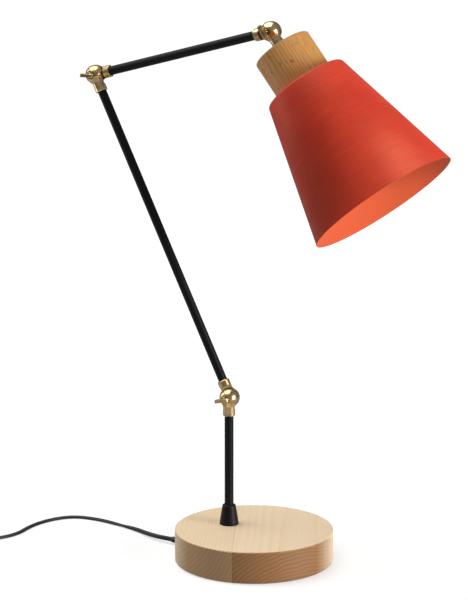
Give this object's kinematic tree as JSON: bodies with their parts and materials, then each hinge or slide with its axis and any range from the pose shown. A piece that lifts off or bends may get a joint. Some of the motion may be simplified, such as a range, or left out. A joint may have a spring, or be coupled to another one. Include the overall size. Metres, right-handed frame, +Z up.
{
  "type": "adjustable desk lamp",
  "caption": "Jointed desk lamp: round wooden base, black tube arms on brass swivels with thumb screws, wooden socket cup and tapered metal shade, with a supply cord.",
  "frame": {"origin": "centre of the base's underside, on the surface the lamp stands on", "axes": "+Z up; the arms fold in a plane parallel to XZ and the head points to +X; the thumb screws stand out towards -Y"},
  "size_m": [0.7132, 0.212, 0.5953],
  "materials": {
    "beech_base": "oiled beech, fine grain",
    "beech_cup": "oiled honey-coloured beech",
    "red_paint": "satin red paint on spun metal",
    "black_paint": "matt black powder coat",
    "brass": "polished brass",
    "steel": "zinc-plated steel",
    "felt": "black felt",
    "black_pvc": "soft black PVC",
    "black_plastic": "black moulded plastic",
    "porcelain": "white glazed insulator",
    "clear_plastic": "natural nylon"
  },
  "bodies": {
    "base": {"base_disc": "beech_base", "base_weight": "steel", "weight_screws": "steel", "base_pad": "felt", "stem_tube": "black_paint", "stem_washer": "steel", "stem_nut": "steel", "stem_foot_cone": "black_paint", "lower_swivel_front": "brass", "terminal_block": "clear_plastic", "supply_tail": "black_pvc", "stem_lead": "black_pvc", "strain_relief": "black_pvc", "cord_lead": "black_pvc", "cord_link": "black_pvc", "cord_tail": "black_pvc", "cord_coil": "black_pvc", "switch_lower_shell": "black_plastic", "switch_upper_shell": "black_plastic", "switch_screws": "steel", "plug_body": "black_plastic", "plug_pins": "brass", "pin_sleeves": "black_plastic"},
    "main_arm": {"lower_swivel_rear": "brass", "lower_swivel_washer": "brass", "main_arm_tube": "black_paint", "main_arm_lead": "black_pvc", "elbow_swivel_front": "brass"},
    "upper_arm": {"elbow_swivel_rear": "brass", "elbow_swivel_washer": "brass", "upper_arm_tube": "black_paint", "upper_arm_lead": "black_pvc", "head_swivel_rear": "brass", "head_swivel_washer": "brass"},
    "head": {"head_swivel_front": "brass", "socket_cup": "beech_cup", "cup_nipple": "brass", "cup_nut": "steel", "holder_cap": "black_plastic", "holder_shell": "black_plastic", "holder_insulator": "porcelain", "screw_shell": "brass", "centre_contact": "brass", "shade_ring": "black_plastic", "shade": "red_paint"},
    "lower_screw": {"lower_thumb_screw": "brass"},
    "elbow_screw": {"elbow_thumb_screw": "brass"},
    "head_screw": {"head_thumb_screw": "brass"},
    "rocker": {"switch_rocker": "black_plastic"}
  },
  "joints": [
    {"name": "lower_swivel", "type": "hinge", "parent": "base", "child": "main_arm", "pos_m": [-0.032, 0.0012, 0.181], "axis": [0, 1, 0], "range_deg": [-35, 75]},
    {"name": "elbow_swivel", "type": "hinge", "parent": "main_arm", "child": "upper_arm", "pos_m": [-0.20602, 0.0036, 0.53002], "axis": [0, -1, 0], "range_deg": [-15, 100]},
    {"name": "head_swivel", "type": "hinge", "parent": "upper_arm", "child": "head", "pos_m": [0.01744, 0.0036, 0.5845], "axis": [0, 1, 0], "range_deg": [-110, 40]},
    {"name": "lower_screw_turn", "type": "hinge", "parent": "main_arm", "child": "lower_screw", "pos_m": [-0.032, 0.0012, 0.181], "axis": [0, -1, 0], "range_deg": [0, 270]},
    {"name": "elbow_screw_turn", "type": "hinge", "parent": "upper_arm", "child": "elbow_screw", "pos_m": [-0.20602, 0.0036, 0.53002], "axis": [0, -1, 0], "range_deg": [0, 270]},
    {"name": "head_screw_turn", "type": "hinge", "parent": "upper_arm", "child": "head_screw", "pos_m": [0.01744, 0.0036, 0.5845], "axis": [0, -1, 0], "range_deg": [0, 270]},
    {"name": "switch_rock", "type": "hinge", "parent": "base", "child": "rocker", "pos_m": [-0.371, -0.112, 0.012], "axis": [0, 1, 0], "range_deg": [0, 16]}
  ]
}
